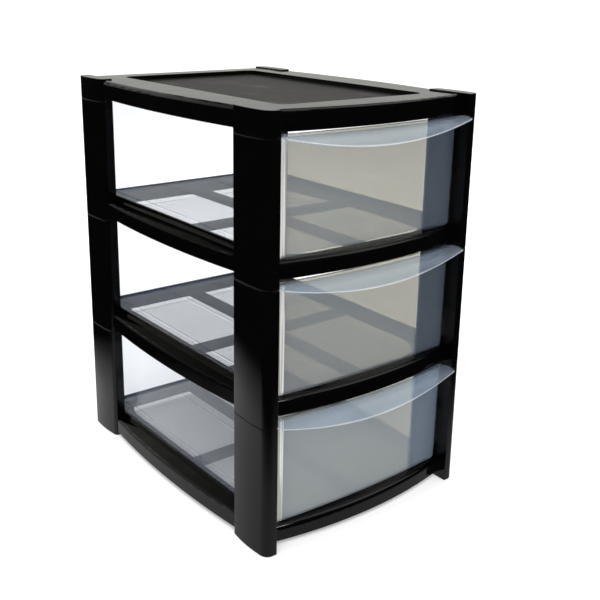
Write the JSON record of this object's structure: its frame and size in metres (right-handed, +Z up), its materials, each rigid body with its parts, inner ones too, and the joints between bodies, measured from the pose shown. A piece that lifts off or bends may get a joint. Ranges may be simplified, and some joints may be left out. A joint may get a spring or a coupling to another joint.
{
  "type": "desk drawer unit",
  "caption": "Desktop drawer tower: clear sliding drawers with scooped grip lips in a black frame of corner posts, bowed shelves and a recessed top cover.",
  "frame": {"origin": "on the ground plane, in the middle of the unit's width and of its full depth from grip lip to rear posts", "axes": "+Z up, -Y towards the drawer fronts, +X to the right seen from the front"},
  "size_m": [0.1794, 0.254, 0.2863],
  "materials": {
    "frame_plastic": "black moulded polystyrene, glossy",
    "clear_plastic": "clear moulded polypropylene, smooth"
  },
  "bodies": {
    "frame": {"top_cover": "frame_plastic", "shelf_bottom": "frame_plastic", "shelf_middle": "frame_plastic", "shelf_top": "frame_plastic", "post_bottom_front_left": "frame_plastic", "post_bottom_front_right": "frame_plastic", "post_bottom_rear_left": "frame_plastic", "post_bottom_rear_right": "frame_plastic", "post_middle_front_left": "frame_plastic", "post_middle_front_right": "frame_plastic", "post_middle_rear_left": "frame_plastic", "post_middle_rear_right": "frame_plastic", "post_top_front_left": "frame_plastic", "post_top_front_right": "frame_plastic", "post_top_rear_left": "frame_plastic", "post_top_rear_right": "frame_plastic"},
    "drawer_bottom_body": {"drawer_bottom": "clear_plastic"},
    "drawer_middle_body": {"drawer_middle": "clear_plastic"},
    "drawer_top_body": {"drawer_top": "clear_plastic"}
  },
  "joints": [
    {"name": "drawer_bottom_slide", "type": "slide", "parent": "frame", "child": "drawer_bottom_body", "axis": [0, -1, 0], "range_m": [0, 0.17]},
    {"name": "drawer_middle_slide", "type": "slide", "parent": "frame", "child": "drawer_middle_body", "axis": [0, -1, 0], "range_m": [0, 0.17]},
    {"name": "drawer_top_slide", "type": "slide", "parent": "frame", "child": "drawer_top_body", "axis": [0, -1, 0], "range_m": [0, 0.17]}
  ]
}
